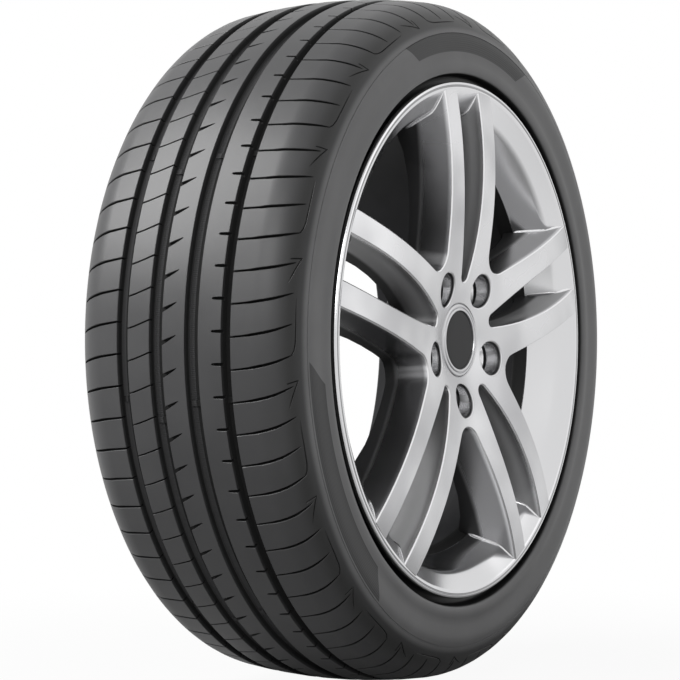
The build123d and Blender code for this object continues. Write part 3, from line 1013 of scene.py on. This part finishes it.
DISC_TONES = (0.022, 0.022, 0.023, 1.0), (0.030, 0.030, 0.031, 1.0)
DISC_SPECULAR = 0.2
DISC_ROUGHNESS, DISC_ROUGHER = 0.45, 0.1
dark = bpy.data.materials.new("cap_face")
dark.use_nodes = True
tree = dark.node_tree
skin = tree.nodes["Principled BSDF"]
skin.inputs["Specular IOR Level"].default_value = DISC_SPECULAR
start = Shade(tree)
spot = start.node("ShaderNodeTexCoord", output="Object")
cloud = start.node("ShaderNodeTexNoise", None, {"Vector": spot, "Scale": 400.0, "Detail": 2.0})
colour = cloud.blend(*DISC_TONES)
tree.links.new(colour.socket, skin.inputs["Base Color"])
tree.links.new((DISC_ROUGHNESS + cloud * DISC_ROUGHER).socket, skin.inputs["Roughness"])
disc.data.materials.append(dark)
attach(disc, "root")
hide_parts("centre_cap")

# Valve: a black rubber stem snapped into a hole in the rim's slope, with a ribbed screw cap.
# It leans out of the slope towards the axle, in the window on the left, where a tyre gauge reaches it.
VALVE_TURN = radians(198.0)
VALVE_ROOT = (-71.0, 208.0)
VALVE_LEAN = radians(50.0)
VALVE_SIDES = 32
VALVE_SMOOTH = radians(40.0)
VALVE_LINES = [
    (-4.0, 6.4), (-3.2, 7.6), (-1.0, 7.9), (0.6, 6.4), (1.6, 5.8), (9.5, 5.8), (9.9, 7.0), (11.2, 7.3),
    (12.2, 6.6), (13.4, 5.0), (14.5, 4.5), (14.8, 3.6), (15.2, 3.6), (15.3, 4.8), (15.9, 5.1), (20.4, 5.1),
    (21.2, 4.6), (21.5, 3.4),
]
CAP_START, CAP_RIB = 15.3, 0.3
outwards = Vector((cos(VALVE_TURN), 0.0, sin(VALVE_TURN)))
stem = -outwards * sin(VALVE_LEAN) - Vector((0.0, 1.0, 0.0)) * cos(VALVE_LEAN)
sideways = Vector((-sin(VALVE_TURN), 0.0, cos(VALVE_TURN)))
upwards = stem.cross(sideways)
root = outwards * VALVE_ROOT[1] + Vector((0.0, VALVE_ROOT[0], 0.0))
rings = []
for run, reach in VALVE_LINES:
    ring = []
    for k in range(VALVE_SIDES):
        around = 2.0 * pi * k / VALVE_SIDES
        wide = reach - (CAP_RIB if run > CAP_START and k % 2 else 0.0)
        ring.append((root + stem * run + (sideways * cos(around) + upwards * sin(around)) * wide) * MM)
    rings.append(ring)
valve = loft("valve", rings)
bpy.ops.object.mode_set(mode="OBJECT")
bpy.ops.object.shade_smooth_by_angle(angle=VALVE_SMOOTH)

VALVE_TONES = (0.014, 0.014, 0.014, 1.0), (0.024, 0.024, 0.024, 1.0)
VALVE_SPECULAR = 0.3
VALVE_ROUGHNESS, VALVE_ROUGHER = 0.45, 0.2
stem_rubber = bpy.data.materials.new("valve_rubber")
stem_rubber.use_nodes = True
tree = stem_rubber.node_tree
skin = tree.nodes["Principled BSDF"]
skin.inputs["Specular IOR Level"].default_value = VALVE_SPECULAR
start = Shade(tree)
spot = start.node("ShaderNodeTexCoord", output="Object")
cloud = start.node("ShaderNodeTexNoise", None, {"Vector": spot, "Scale": 300.0, "Detail": 3.0})
colour = cloud.blend(*VALVE_TONES)
tree.links.new(colour.socket, skin.inputs["Base Color"])
tree.links.new((VALVE_ROUGHNESS + cloud * VALVE_ROUGHER).socket, skin.inputs["Roughness"])
bump = start.node("ShaderNodeBump", None, {"Strength": 0.2, "Distance": 0.2 * MM, "Height": cloud})
tree.links.new(bump.socket, skin.inputs["Normal"])
valve.data.materials.append(stem_rubber)
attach(valve, "root")

size = {"cad": [list(corner) for corner in cad_box], "visual": [list(corner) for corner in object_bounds()]}
